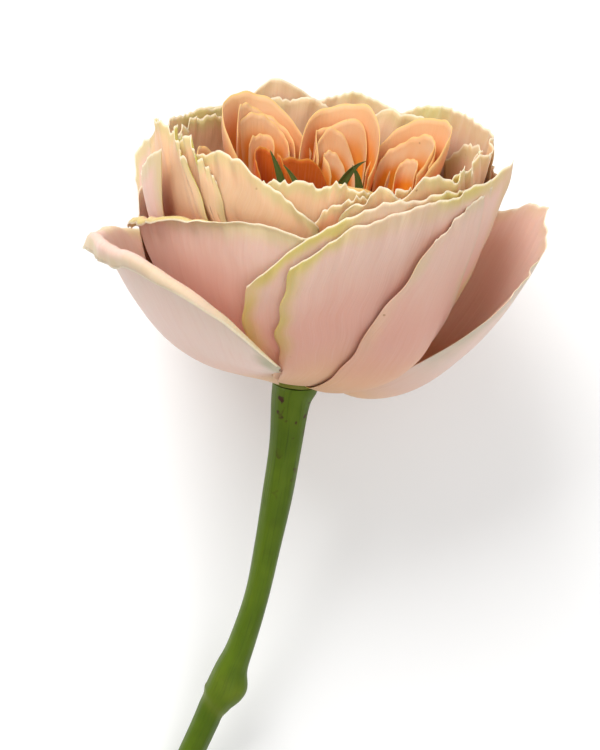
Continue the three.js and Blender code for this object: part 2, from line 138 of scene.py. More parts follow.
CUP_PETALS = [
    shaped("guard_left", GUARD_LEFT, [-100, -114, -118, -116], [-30, -16, -8, -7], [22, 28.5, 33.5, 29, 11.5],
           lip=[1, 4, 6, 3.4, 0.6], curl=[30, 100, 160, 160, 60], belly=[1, 1, 0.3, -1.2, -3]),
    shaped("guard_right", GUARD_RIGHT, [62, 64, 66, 66], [112, 122, 124, 122], [24.5, 31, 38.4, 34.5, 30],
           reach=[5, 4, 0.3, -1.5, -3], belly=[-1.5, 3.4, 4, 2.2, 0], ruffle=1.2),
    rounded("guard_back_b", GUARD_BACK, 211, 34, 34.5, narrow=True, pressed=True, ruffle=0.4),
    rounded("guard_back_a", GUARD_BACK_IN, 161, 31, 35.8, narrow=True, pressed=True, ruffle=0.4),
    rounded("guard_back_c", GUARD_SIDE_IN, 240, 32, 34),
    shaped("outer_f", 0.0, [10, 17, 26, 40], [70, 72, 65, 68], [38, 40.5, 42.5, 44.2, 45.5],
           reach=[1.2, 0.3, 0, 0, 0.6], belly=[0, 1.4, 2, 1.4, 0], rag=0.4),
    shaped("outer_e", 0.09, [-25, -9, -9, -5], [30, 70, 72, 80], [32, 41.5, 44.5, 46.5, 49.3],
           reach=[1.3, 0.2, 0, 0.4, 3], rag=0.55, tone="green"),
    shaped("outer_d", 0.18, [-30, -16, -22, -20], [25, 45, 55, 60], [26, 38, 44.5, 46, 46], reach=[1.3, 0.2, 0, 0, 0],
           rag=0.55, tone="green"),
    shaped("outer_b", 0.27, [-80, -100, -110, -112], [-20, 0, 4, 4], [24, 32, 37.5, 38.4, 37.8],
           reach=[5, 3.4, 1.4, 0, 0], lip=[1.6, 3.4, 3.0, 1, 0.5], curl=[50, 150, 160, 80, 20], rag=0.55),
    rounded("outer_h", 0.2, 98, 34, 44, reach=[0.3, 1.4, 2, 1.4, 0.3]),
    rounded("outer_i", 0.09, 140, 34, 45, reach=[2, 0.8, 0, 0, 0]),
    rounded("outer_k", 0.09, 222, 32, 41),
    rounded("outer_j", 0.2, 185, 36, 45),
    shaped("outer_c", 0.36, [-102, -118, -118, -112], [-84, -66, -63, -64], [33, 36, 38.5, 43, 47],
           reach=[3, 3.2, 2.8, 2.2, 1.4], rag=0.3, ruffle=0.4),
    rounded("wall_h", 0.48, 170, 24, 51, tops=[48.6, 50, 51.2, 48.6, 46], tone="back", rag=0.35),
    rounded("wall_j", 0.5, 232, 30, 47, tops=[48, 48, 47.4, 47.2, 47], tone="back", rag=0.9),
    shaped("wall_f", 0.48, [70, 54, 49, 52], [90, 100, 104, 100], [47, 48, 49, 50, 50.5], rag=1.3, ruffle=1.4,
           reach=[0, 0.3, 1, 2, 2.6]),
    shaped("wall_a", 0.58, [-80, -94, -97, -94], [-34, -28, -36, -50], [49, 50, 50.5, 50, 47], rag=1.4, ruffle=1.5,
           reach=[3, 1.6, 0.6, 0.6, 1.4]),
    shaped("wall_b", 0.65, [-70, -78, -80, -78], [-28, -20, -28, -40], [45, 49, 50, 49, 45], rag=1.4, ruffle=1.5,
           reach=[0, 0, 0.5, 1.0]),
    rounded("wall_i", 0.39, 198, 33, 52, tops=[45.5, 48.3, 52.2, 47.8, 47], tone="back", rag=0.35),
    rounded("wall_g", 0.39, 124, 30, 52, tops=[50.5, 51.2, 52.3, 51.6, 48.5], tone="back", rag=0.5,
            reach=[3, 2, 0.8, 0.2, 0]),
    shaped("wall_e", 0.39, [-5, 2, 8, 12], [40, 60, 66, 66], [44, 46.5, 48, 49, 48.5], rag=1.3, ruffle=1.4),
    shaped("wall_c", 0.72, [-50, -58, -60, -60], [-10, 0, 2, 2], [47, 49, 48.5, 44.5, 38.5], rag=1.3, ruffle=1.3,
           reach=[0, 0, 0.6, 1.6]),
    shaped("wall_d", 0.79, [-20, -30, -32, -30], [14, 20, 22, 22], [45.5, 46.5, 46.5, 47, 45.5], rag=1.0, ruffle=1.1),
    rounded("rim_b", 0.6, 22, 24, 45.5, rag=1.3, ruffle=1.3),
    rounded("rim_d", 0.58, 98, 26, 48.5, reach=[0, 1, 2, 2, 1], rag=0.9),
    rounded("rim_f", 0.58, 190, 28, 49, rag=0.7),
    rounded("rim_h", 0.8, 268, 24, 47, rag=1.2, ruffle=1.2),
    rounded("rim_a", 0.92, -48, 24, 46.5, rag=1.2, ruffle=1.2),
    rounded("rim_c", 0.82, 48, 26, 46, rag=1.3, ruffle=1.3),
    rounded("rim_e", 0.67, 145, 28, 49.5, rag=0.7),
    rounded("rim_g", 0.67, 235, 28, 46.5, rag=1.0, ruffle=1.2),
]

# name, angle, distance, half depth, half width, top height, fall inwards, facing of each nested petal
QUARTERS = [
    ("quarter_a", 221, 16.6, 8.2, 9.0, 51.6, 7.5, (180, 214, 244, 262)),
    ("quarter_b", 163, 12.6, 7.2, 7.4, 51.0, 9, (176, 156, 140, 124)),
    ("quarter_c", 117, 19.6, 7.4, 7.6, 50.8, 7, (158, 140, 164, 132)),
    ("quarter_d", 26, 16.0, 7.0, 8.6, 45.0, 5, (180, 200, 160, 180)),
    ("quarter_e", 284, 17.4, 6.4, 7.6, 45.2, 6.5, (180, 180, 180, 180)),
    ("hub_1", 222, 4.0, 3.4, 6.6, 44.4, 2, (150,)),
    ("hub_2", 262, 9.6, 3.0, 3.6, 44.6, 2, (215,)),
]
# how much higher one side of each nested petal stands
SLANT = {
    "quarter_a": (-0.8, -2.4, -3.0, -3.2), "quarter_b": (-0.6, -1.6, -2.2, -2.6), "quarter_c": (0.8, 1.6, 2.0, 2.2),
    "quarter_d": (1.2, 0.8, 0.6, 0.4), "quarter_e": (0.4, -0.4, 0.6, -0.6), "hub_1": (-2.2,), "hub_2": (0.6,),
}
# size, spread in degrees, drop in mm and opening of the outermost to the innermost nested petal
NEST_SCALE = (1, 0.78, 0.56, 0.35)
NEST_SPREAD = (112, 104, 100, 112)
NEST_DROP = (0, 1.4, 2.8, 4.6)
NEST_OPEN = (0.08, -0.06, 0.12, -0.10)


def cup_petal_points(P, across, up):
    """Middle surface of a cup or guard petal, with each point's distance from the free edge in mm."""
    s = np.linspace(-1, 1, across + 1)[None, :]
    x = np.linspace(0, 1, up + 1)[:, None]
    c = (s + 1) / 2
    length, prho, ph = even_curve(P["profile"], 400)
    rising = np.maximum.accumulate(ph) + np.arange(len(ph)) * 1e-6
    total = np.interp(along(P["tops"], c), rising, length)
    seed, rag = seed_of(P["name"]), P["rag"]
    total = total + rag * (0.8 * ripple(ripples(seed, 5, 2, 8), s * 2)
                           + 0.22 * ripple(ripples(seed + 100, 6, 12, 30), s * 2)
                           - 0.7 * np.abs(ripple(ripples(seed + 200, 3, 5, 13), s * 2)))
    run = x * total
    rho, height = np.interp(run, length, prho), np.interp(run, length, ph)
    left, right = along(P["left"], x), along(P["right"], x)
    wobble = rag * 1.3 * smooth(0.15, 0.5, x)
    left = left + wobble * ripple(ripples(seed + 7, 5, 3, 14), x * 3)
    right = right + wobble * ripple(ripples(seed + 9, 5, 3, 14), x * 3)
    phi = np.radians(left + (right - left) * c)
    width = np.radians(np.abs(right - left)) * rho / 2
    rho = rho + along(P["reach"], c) * smooth(0.25, 1, x)
    height = height + 0 * phi
    lip, turn = along(P["lip"], c), np.radians(along(P["curl"], c))
    if max(P["lip"]) > 0:
        lip = np.maximum(lip, 0.01)
        edge = np.clip(run - (total - lip), 0, lip)
        r = np.minimum(lip / np.maximum(turn, 1e-3), LIP_RADIUS)
        bent = np.minimum(edge, r * turn)
        forward = r * np.sin(bent / r) + (edge - bent) * np.cos(turn)
        outward = r * (1 - np.cos(bent / r)) + (edge - bent) * np.sin(turn)
        start = np.minimum(run, total - lip)
        r0, h0 = np.interp(start, length, prho), np.interp(start, length, ph)
        r1, h1 = np.interp(start - STEP_MM, length, prho), np.interp(start - STEP_MM, length, ph)
        n = np.maximum(np.hypot(r0 - r1, h0 - h1), 1e-6)
        tr, th = (r0 - r1) / n, (h0 - h1) / n
        extra = rho - np.interp(run, length, prho)
        rho = np.where(edge > 0, r0 + tr * forward + th * outward + extra, rho)
        height = np.where(edge > 0, h0 + th * forward - tr * outward, height)
    sag = along(P["belly"], c) * np.sin(np.pi * x ** 0.8)
    rise_r = np.interp(run + STEP_MM, length, prho) - np.interp(run - STEP_MM, length, prho)
    rise_h = np.interp(run + STEP_MM, length, ph) - np.interp(run - STEP_MM, length, ph)
    slope = np.maximum(np.hypot(rise_r, rise_h), 1e-6)
    rho, height = rho + sag * rise_h / slope, height - sag * rise_r / slope
    points = np.stack([rho * np.sin(phi), rho * np.cos(phi), height], -1)
    from_top, from_side = (1 - x) * total + 0 * s, (1 - np.abs(s)) * width
    free = np.minimum(from_top, from_side * 1.1 + 0.6)
    fall = np.exp(-np.minimum(from_top, from_side * 1.3) / P["frill"]) * smooth(0.1, 0.45, x)
    path = s * width / 4 + x * total / 16
    away = np.stack([np.sin(phi), np.cos(phi), 0 * phi], -1)
    amount = P["ruffle"] * fall * (0.7 * ripple(ripples(seed + 31, 4, 1.2, 3.2), path)
                                   + 0.4 * ripple(ripples(seed + 47, 4, 4, 9), path))
    points = points + away * amount[..., None]
    points[..., 2] += 0.3 * P["ruffle"] * fall * ripple(ripples(seed + 61, 3, 1.5, 4), path + 1.3)
    return points, free


def quarter_petal_points(Q, index, across, up):
    """Middle surface of a folded quarter petal, with each point's distance from the free edge in mm."""
    name, turn, distance, deep, wide, top, fall, facing = Q
    seed = seed_of(name) + index * 17
    s = np.linspace(-1, 1, across + 1)[None, :]
    x = np.linspace(0, 1, up + 1)[:, None]
    rng = random.Random(seed)
    shift_u, shift_v, opening = rng.uniform(-0.6, 0.6), rng.uniform(-0.7, 0.7), NEST_OPEN[index]
    if index == 0:
        shift_u = shift_v = 0
    psi = np.radians(facing[index] + s * NEST_SPREAD[index])
    scale = NEST_SCALE[index] * (1 + opening * smooth(0.6, 1, x))
    grow = 0.27 + 0.73 * smooth(-0.15, 1, x) ** 1.1
    u, v = -deep * np.cos(psi) * scale + shift_u, wide * np.sin(psi) * scale + shift_v
    edge = smooth(0.35, 1, x)
    crumple = 0.8 * (0.35 + 0.65 * NEST_SCALE[index])
    u = u + crumple * edge * ripple(ripples(seed + 5, 3, 0.8, 2.4), s * 2)
    v = v + crumple * edge * ripple(ripples(seed + 9, 3, 0.8, 2.4), s * 2 + 2)
    radial, side, a = (distance + u) * grow, v * grow, math.radians(turn)
    crest = 1 - 0.12 * np.abs(s) ** 2.5 + 0.026 * ripple(ripples(seed, 4, 0.8, 3.2), s * 2) \
        + 0.005 * ripple(ripples(seed + 3, 4, 6, 14), s * 2)
    inward = fall * (u / deep - 1) * 0.5
    rise = top - CLAW_HEIGHT - NEST_DROP[index] + inward + SLANT[name][index] * s
    height = CLAW_HEIGHT + rise * x * crest
    right, upper = radial * math.sin(a) + side * math.cos(a), radial * math.cos(a) - side * math.sin(a)
    points = np.stack([right, upper, height + 0 * u], -1)
    free = np.minimum((1 - x) * (top - 4) + 0 * s, (1 - np.abs(s)) * wide * 2.4 + 0.6)
    return points, free


# ---------------------------------------------------------------- pieces
def select_only(piece):
    bpy.ops.object.select_all(action="DESELECT")
    piece.select_set(True)
    bpy.context.view_layer.objects.active = piece


def apply_modifiers(piece):
    select_only(piece)
    for m in list(piece.modifiers):
        bpy.ops.object.modifier_apply(modifier=m.name)


def petal_sheet(name, points, free, across, up, thick, materials, pressed=False):
    """One petal: a grid laid out flat, shaped over the bloom, given its two faces and its thin rim."""
    bpy.ops.mesh.primitive_grid_add(x_subdivisions=across, y_subdivisions=up, size=1, calc_uvs=True)
    piece = bpy.context.active_object
    piece.name = piece.data.name = name
    place = in_head(points)
    flat = np.zeros(len(piece.data.vertices) * 3)
    piece.data.vertices.foreach_get("co", flat)
    flat = flat.reshape(-1, 3)
    i = np.rint((flat[:, 0] + 0.5) * across).astype(int)
    j = np.rint((flat[:, 1] + 0.5) * up).astype(int)
    where = place[j, i]
    if pressed:
        where[:, 2] = np.maximum(where[:, 2], thick * MM / 2 + 1e-5)
    piece.data.vertices.foreach_set("co", where.ravel())
    for key, value in (("edge_mm", free[j, i]), ("height_mm", points[j, i][:, 2])):
        piece.data.attributes.new(key, "FLOAT", "POINT").data.foreach_set("value", value.astype(np.float32))
    piece.data.update()
    for m in materials:
        piece.data.materials.append(m)
    group = piece.vertex_groups.new(name="full_thickness")
    for index, weight in enumerate(smooth(0.0, 4.0, free[j, i])):
        group.add([index], float(weight), "REPLACE")
    wall = piece.modifiers.new("petal thickness", "SOLIDIFY")
    wall.thickness = thick * MM
    wall.vertex_group = group.name
    wall.thickness_vertex_group = 0.3
    wall.offset = 0
    wall.material_offset = 1
    wall.material_offset_rim = 1
    apply_modifiers(piece)
    bpy.ops.object.shade_smooth()
    return piece


def finish_piece(piece, node):
    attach(piece, "root")
    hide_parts(node)


# ---------------------------------------------------------------- finishes
class Nodes:
    """Short hand for building one node material."""

    def __init__(self, name):
        self.m = bpy.data.materials.new(name)
        self.m.use_nodes = True
        self.t = self.m.node_tree
        self.t.nodes.clear()
        self.out = self.t.nodes.new("ShaderNodeOutputMaterial")
        self.bsdf = self.t.nodes.new("ShaderNodeBsdfPrincipled")
        self.t.links.new(self.bsdf.outputs[0], self.out.inputs["Surface"])

    def link(self, a, b):
        self.t.links.new(a, b)

    def put(self, socket, value):
        if isinstance(value, bpy.types.NodeSocket):
            self.t.links.new(value, socket)
        else:
            socket.default_value = value

    def attribute(self, key):
        n = self.t.nodes.new("ShaderNodeAttribute")
        n.attribute_name = key
        return n.outputs["Fac"]

    def math(self, op, a, b):
        n = self.t.nodes.new("ShaderNodeMath")
        n.operation = op
        for socket, value in zip(n.inputs, (a, b)):
            self.put(socket, value)
        return n.outputs[0]

    def fade(self, value, a, b, lo=0.0, hi=1.0):
        n = self.t.nodes.new("ShaderNodeMapRange")
        n.interpolation_type = "SMOOTHSTEP"
        for key, v in (("Value", value), ("From Min", a), ("From Max", b), ("To Min", lo), ("To Max", hi)):
            self.put(n.inputs[key], v)
        return n.outputs["Result"]

    def mix(self, fac, a, b, blend="MIX"):
        n = self.t.nodes.new("ShaderNodeMix")
        n.data_type, n.blend_type, n.clamp_factor = "RGBA", blend, True
        self.put(n.inputs["Factor"], fac)
        self.put(n.inputs["A"], a)
        self.put(n.inputs["B"], b)
        return n.outputs["Result"]

    def noise(self, vector, scale, detail=3.0, rough=0.55):
        n = self.t.nodes.new("ShaderNodeTexNoise")
        self.put(n.inputs["Vector"], vector)
        n.inputs["Scale"].default_value = scale
        n.inputs["Detail"].default_value = detail
        n.inputs["Roughness"].default_value = rough
        return n.outputs["Fac"]

    def vector(self, x, y, z=0.0):
        n = self.t.nodes.new("ShaderNodeCombineXYZ")
        for socket, value in zip(n.inputs, (x, y, z)):
            self.put(socket, value)
        return n.outputs[0]

    def uv(self):
        n = self.t.nodes.new("ShaderNodeUVMap")
        n.uv_map = "UVMap"
        s = self.t.nodes.new("ShaderNodeSeparateXYZ")
        self.t.links.new(n.outputs[0], s.inputs[0])
        return s.outputs[0], s.outputs[1]

    def place(self):
        return self.t.nodes.new("ShaderNodeTexCoord").outputs["Object"]

    def bump(self, height, strength, distance):
        n = self.t.nodes.new("ShaderNodeBump")
        n.inputs["Strength"].default_value = strength
        n.inputs["Distance"].default_value = distance
        self.t.links.new(height, n.inputs["Height"])
        self.t.links.new(n.outputs[0], self.bsdf.inputs["Normal"])


def srgb(r, g, b):
    def lin(v):
        return v / 12.92 if v <= 0.04045 else ((v + 0.055) / 1.055) ** 2.4
    return (lin(r), lin(g), lin(b), 1.0)


def petal_finish(name, claw, lower, middle, upper, rim, rim_mm, green, deep=None, streak=0.14, soft=0.18):
    """Petal colour from claw to rim, with fine lengthwise veins, blushes and a paler ragged edge."""
    n = Nodes(name)
    u, v = n.uv()
    place = n.place()
    patch = n.noise(place, 90, 3)
    broad = n.noise(place, 38, 2)
    along_v = n.math("ADD", v, n.math("MULTIPLY", n.math("SUBTRACT", broad, 0.5), 0.22))
    color = n.mix(n.fade(along_v, 0.06, 0.34), claw, lower)
    color = n.mix(n.fade(along_v, 0.26, 0.56), color, middle)
    color = n.mix(n.fade(along_v, 0.55, 0.92), color, upper)
    # veins run from claw to rim
    vein = n.noise(n.vector(n.math("MULTIPLY", u, 46), n.math("MULTIPLY", v, 2.2), broad), 1.0, 4, 0.6)
    fine = n.noise(n.vector(n.math("MULTIPLY", u, 150), n.math("MULTIPLY", v, 5.0)), 1.0, 2, 0.5)
    tint = n.math("MULTIPLY", n.fade(vein, 0.46, 0.68), streak)
    darker = n.mix(1.0, color, (0.86, 0.62, 0.52, 1.0), "MULTIPLY")
    color = n.mix(tint, color, darker)
    color = n.mix(n.math("MULTIPLY", n.fade(fine, 0.5, 0.7), streak * 0.45), color, (0.92, 0.80, 0.70, 1.0))
    edge = n.attribute("edge_mm")
    if deep:
        height = n.attribute("height_mm")
        uneven = n.math("ADD", height, n.math("MULTIPLY", patch, 5.0))
        color = n.mix(n.fade(uneven, deep[1] + 2.5, deep[2] + 2.5, 1.0, 0.0), color, deep[0])
    ragged = n.math("ADD", edge, n.math("MULTIPLY", n.math("SUBTRACT", patch, 0.5), rim_mm * 2.2))
    flush = n.math("MULTIPLY", n.fade(ragged, rim_mm * 0.5, rim_mm * 2.0, 1.0, 0.0),
                   n.fade(broad, 0.36, 0.60, green[1] * 0.25, green[1]))
    color = n.mix(n.math("MULTIPLY", flush, n.fade(v, 0.35, 0.75)), color, green[0])
    frayed = n.math("ADD", edge, n.math("MULTIPLY", n.math("SUBTRACT", fine, 0.5), 0.4))
    color = n.mix(n.fade(frayed, 0.10, 0.60, 0.85, 0.0), color, rim)
    # a few small brown blemishes close to the rim
    spot = n.noise(place, 420, 2, 0.5)
    mark = n.math("MULTIPLY", n.fade(spot, 0.73, 0.79), n.fade(edge, 0.5, 6.0, 0.6, 0.0))
    color = n.mix(mark, color, srgb(0.55, 0.36, 0.18))
    n.link(color, n.bsdf.inputs["Base Color"])
    n.link(n.fade(vein, 0.3, 0.8, 0.62, 0.48), n.bsdf.inputs["Roughness"])
    n.bsdf.inputs["Subsurface Weight"].default_value = soft
    n.bsdf.inputs["Subsurface Radius"].default_value = (1.0, 0.42, 0.22)
    n.bsdf.inputs["Subsurface Scale"].default_value = 0.0022
    n.bsdf.inputs["Specular IOR Level"].default_value = 0.28
    n.bsdf.inputs["Sheen Weight"].default_value = 0.12
    n.bsdf.inputs["Sheen Roughness"].default_value = 0.4
    relief = n.math("ADD", n.math("MULTIPLY", vein, 0.7), n.math("MULTIPLY", fine, 0.22))
    relief = n.math("ADD", relief, n.math("MULTIPLY", patch, 0.5))
    n.bump(relief, 0.35, 0.00045)
    return n.m


CREAM = srgb(0.95, 0.88, 0.76)
GREEN = srgb(0.78, 0.72, 0.33)
PALE_GREEN = srgb(0.78, 0.74, 0.50)
GREY_GREEN = srgb(0.66, 0.65, 0.52)
BLUSH, PINK, SALMON = srgb(0.90, 0.74, 0.67), srgb(0.88, 0.65, 0.58), srgb(0.86, 0.57, 0.47)
PEACH, TAN, BUTTER = srgb(0.89, 0.67, 0.52), srgb(0.82, 0.60, 0.42), srgb(0.72, 0.59, 0.28)
APRICOT, ORANGE = srgb(0.90, 0.62, 0.34), srgb(0.88, 0.47, 0.08)
EMBER, RED = srgb(0.72, 0.24, 0.01), srgb(0.56, 0.09, 0.01)
SOFT_PEACH = srgb(0.91, 0.72, 0.57)
GOLD_RIM, HUB_RIM, AMBER = srgb(0.93, 0.74, 0.46), srgb(0.80, 0.50, 0.18), srgb(0.88, 0.50, 0.09)

FINISH = {
    "guard_out": petal_finish("guard petal outside", BUTTER, TAN, BLUSH, srgb(0.88, 0.74, 0.68), CREAM, 2.2,
                              (PALE_GREEN, 0.6)),
    "guard_in": petal_finish("guard petal inside", SOFT_PEACH, BLUSH, srgb(0.92, 0.80, 0.75), srgb(0.88, 0.79, 0.73),
                             PALE_GREEN, 3.4,
                             (GREY_GREEN, 1.0)),
    "outer_out": petal_finish("outer petal outside", BUTTER, SALMON, PINK, srgb(0.90, 0.70, 0.63), CREAM, 2.2,
                              (GREEN, 0.7)),
    "outer_in": petal_finish("outer petal inside", TAN, PEACH, PINK, BLUSH, CREAM, 2.6, (PALE_GREEN, 0.6)),
    "green_out": petal_finish("green tipped petal outside", BUTTER, SALMON, PINK, srgb(0.89, 0.68, 0.59), CREAM, 5.0,
                              (GREEN, 1.2)),
    "green_in": petal_finish("green tipped petal inside", TAN, PEACH, PINK, BLUSH, CREAM, 2.6, (GREEN, 0.8)),
    "wall_out": petal_finish("wall petal outside", BUTTER, SALMON, PINK, srgb(0.93, 0.72, 0.62), CREAM, 3.4,
                             (GREEN, 1.1)),
    "back_out": petal_finish("back petal outside", BUTTER, PEACH, BLUSH, srgb(0.84, 0.70, 0.60), CREAM, 3.0,
                             (PALE_GREEN, 0.9)),
    "back_in": petal_finish("back petal inside", APRICOT, PEACH, SOFT_PEACH, srgb(0.88, 0.66, 0.53), PALE_GREEN, 2.2,
                            (GREY_GREEN, 1.0), deep=(SOFT_PEACH, 26, 40)),
    "wall_in": petal_finish("wall petal inside", ORANGE, APRICOT, PEACH, srgb(0.92, 0.74, 0.58), CREAM, 1.8,
                            (PALE_GREEN, 0.6),
                            deep=(ORANGE, 24, 40)),
    "rim_out": petal_finish("rim petal outside", ORANGE, APRICOT, PEACH, srgb(0.90, 0.75, 0.60), CREAM, 1.8,
                            (PALE_GREEN, 0.8),
                            deep=(ORANGE, 24, 38)),
    "rim_in": petal_finish("rim petal inside", EMBER, ORANGE, APRICOT, PEACH, CREAM, 1.4, (PALE_GREEN, 0.5),
                           deep=(ORANGE, 30, 44)),
    "quarter_out": petal_finish("quarter petal outside", EMBER, ORANGE, APRICOT, srgb(0.90, 0.70, 0.56), GOLD_RIM, 1.6,
                                (srgb(0.91, 0.73, 0.50), 0.8), deep=(AMBER, 36, 48.5)),
    "quarter_in": petal_finish("quarter petal inside", RED, EMBER, ORANGE, srgb(0.90, 0.66, 0.46), GOLD_RIM, 3.4,
                               (srgb(0.91, 0.72, 0.55), 1.1), deep=(AMBER, 38, 51)),
    "hub_out": petal_finish("hub petal outside", RED, EMBER, srgb(0.76, 0.30, 0.02), srgb(0.78, 0.36, 0.05), HUB_RIM,
                            0.8,
                            (EMBER, 0.3), deep=(RED, 26, 39)),
    "hub_in": petal_finish("hub petal inside", RED, EMBER, srgb(0.72, 0.27, 0.02), srgb(0.76, 0.36, 0.05), HUB_RIM, 0.8,
                           (EMBER, 0.3), deep=(RED, 30, 40)),
}

# ---------------------------------------------------------------- petals
for P in CUP_PETALS:
    kind = P["name"].split("_")[0]
    across, up = (70, 60) if kind in ("guard", "outer", "wall") else (48, 44)
    points, free = cup_petal_points(P, across, up)
    tone = P.get("tone", kind)
    faces = (FINISH[tone + "_in"], FINISH[tone + "_out"])
    piece = petal_sheet(P["name"] + "_petal", points, free, across, up, PETAL_THICK, faces, P.get("pressed", False))
    finish_piece(piece, P["name"])

for Q in QUARTERS:
    kind, across, up = Q[0].split("_")[0], 56, 34
    faces = (FINISH[kind + "_in"], FINISH[kind + "_out"])
    for k in range(len(Q[7])):
        node = Q[0] if kind == "hub" else f"{Q[0]}_{k + 1}"
        points, free = quarter_petal_points(Q, k, across, up)
        piece = petal_sheet(node + "_petal", points, free, across, up, QUARTER_THICK, faces)
        finish_piece(piece, node)


# ---------------------------------------------------------------- stem, receptacle and leaflets
def green_finish(name, base, light, dark, spots):
    n = Nodes(name)
    place = n.place()
    u, v = n.uv()
    broad = n.noise(place, 60, 3)
    color = n.mix(n.fade(broad, 0.3, 0.7), base, light)
    line = n.noise(n.vector(n.math("MULTIPLY", u, 40), n.math("MULTIPLY", v, 14)), 1.0, 3)
    color = n.mix(n.math("MULTIPLY", n.fade(line, 0.5, 0.75), 0.45), color, dark)
    mark = n.attribute("mark")
    color = n.mix(n.math("MULTIPLY", mark, n.fade(broad, 0.38, 0.6, 0.25, 0.8)), color, srgb(0.50, 0.53, 0.16))
    if spots:
        speck = n.noise(place, 330, 2, 0.5)
        upper = n.math("MULTIPLY", n.fade(v, 0.84, 0.98), n.fade(n.noise(place, 110, 1), 0.45, 0.55))
        dotted = n.math("MULTIPLY", n.fade(speck, 0.60, 0.66), n.math("MAXIMUM", upper, 0.05))
        color = n.mix(dotted, color, srgb(0.26, 0.14, 0.06))
    n.link(color, n.bsdf.inputs["Base Color"])
    n.link(n.fade(line, 0.3, 0.7, 0.5, 0.36), n.bsdf.inputs["Roughness"])
    n.bsdf.inputs["Subsurface Weight"].default_value = 0.06
    n.bsdf.inputs["Subsurface Scale"].default_value = 0.0015
    n.bsdf.inputs["Specular IOR Level"].default_value = 0.22
    n.bump(n.math("ADD", line, n.math("MULTIPLY", n.noise(place, 260, 3), 0.6)), 0.3, 0.0003)
    return n.m


STEM_GREEN = green_finish("stem green", srgb(0.28, 0.37, 0.01), srgb(0.36, 0.45, 0.04), srgb(0.19, 0.28, 0.01), True)
LEAF_GREEN = green_finish("leaflet green", srgb(0.24, 0.31, 0.12), srgb(0.32, 0.40, 0.18), srgb(0.14, 0.20, 0.07), False)
SEAT_GREEN = green_finish("receptacle green", srgb(0.42, 0.45, 0.14), srgb(0.52, 0.54, 0.22),
                          srgb(0.30, 0.36, 0.08), False)

# stem centre line seen from above, and its radius there
STEM = [
    (-0.3, -2.2, 4.7), (-1.3, -6, 3.9), (-2.3, -14.6, 3.3), (-4, -25, 3.1), (-6, -35.4, 2.7), (-8.3, -46, 2.5),
    (-11.6, -56.3, 2.8), (-14, -61.7, 3.2), (-15.6, -65.8, 3.5), (-17.6, -69.5, 2.9), (-20.4, -75.6, 2.7),
    (-28, -92, 2.7),
]


def select_long_edges(piece, longer_than):
    """Leaves edit mode on with only the edges that run from end to end selected."""
    bpy.ops.object.mode_set(mode="EDIT")
    bpy.ops.mesh.select_mode(type="EDGE")
    bpy.ops.mesh.select_all(action="DESELECT")
    bpy.ops.object.mode_set(mode="OBJECT")
    for e in piece.data.edges:
        a, b = (piece.data.vertices[k].co for k in e.vertices)
        e.select = abs(a.z - b.z) > longer_than
    bpy.ops.object.mode_set(mode="EDIT")


def smooth_closed(piece, angle):
    """Turns every face outwards and shades the mesh smooth up to an angle in degrees."""
    select_only(piece)
    bpy.ops.object.mode_set(mode="EDIT")
    bpy.ops.mesh.select_all(action="SELECT")
    bpy.ops.mesh.normals_make_consistent(inside=False)
    bpy.ops.object.mode_set(mode="OBJECT")
    bpy.ops.object.shade_smooth_by_angle(angle=math.radians(angle))


def stem_piece():
    sides, rings = 40, 170
    bpy.ops.mesh.primitive_cylinder_add(vertices=sides, radius=0.003, depth=0.1, end_fill_type="NGON", calc_uvs=True)
    piece = bpy.context.active_object
    piece.name = piece.data.name = "stem_stalk"
    select_only(piece)
    select_long_edges(piece, 0.05)
    bpy.ops.mesh.subdivide_edgering(number_cuts=rings - 2, interpolation="LINEAR")
    bpy.ops.object.mode_set(mode="OBJECT")
    _, cx, cy, cr = even_curve(STEM, rings)
    centre = np.stack([cx, cy, HEAD_HEIGHT + STEM_FALL * cy], 1)
    t = np.linspace(0, 1, rings)
    centre[:, 2] += (cr[-1] * 0.948 - centre[-1, 2]) * smooth(0.75, 1, t)
    tangent = np.gradient(centre, axis=0)
    tangent /= np.linalg.norm(tangent, axis=1)[:, None]
    tangent[0] = -AXIS
    side = np.cross(-tangent, [0, 0, 1.0])
    side /= np.linalg.norm(side, axis=1)[:, None]
    up = np.cross(side, -tangent)
    co = np.zeros(len(piece.data.vertices) * 3)
    piece.data.vertices.foreach_get("co", co)
    co = co.reshape(-1, 3)
    k = np.rint((0.5 - co[:, 2] / 0.1) * (rings - 1)).astype(int)
    angle = np.arctan2(co[:, 1], co[:, 0])
    y = centre[k, 1]
    bump = 0.42 * np.exp(-((y - NODE_Y) / 3.2) ** 2) * np.maximum(0, np.cos(angle)) ** 3
    ring = 0.05 * np.exp(-((y + 67.6 + 1.2 * np.cos(angle)) / 0.7) ** 2)
    ring = ring - 0.04 * np.exp(-((y + 69.4 + 1.2 * np.cos(angle)) / 0.9) ** 2)
    grain = 0.012 * np.sin(angle * 5 + y * 0.05) + 0.01 * np.sin(angle * 9 - y * 0.08)
    r = cr[k] * (1 + bump + ring + grain)
    p = centre[k] + side[k] * (r * np.cos(angle))[:, None] + up[k] * (r * np.sin(angle))[:, None]
    where = BASE - np.array([0, 0, HEAD_HEIGHT * MM]) + p * MM
    piece.data.vertices.foreach_set("co", where.ravel())
    mark = np.exp(-((y + 68.5 + 1.2 * np.cos(angle)) / 1.1) ** 2) + 0.35 * np.exp(-((y + 65) / 3.0) ** 2)
    piece.data.attributes.new("mark", "FLOAT", "POINT").data.foreach_set("value", mark.astype(np.float32))
    piece.data.update()
    piece.data.materials.append(STEM_GREEN)
    smooth_closed(piece, 40)
    finish_piece(piece, "stem")


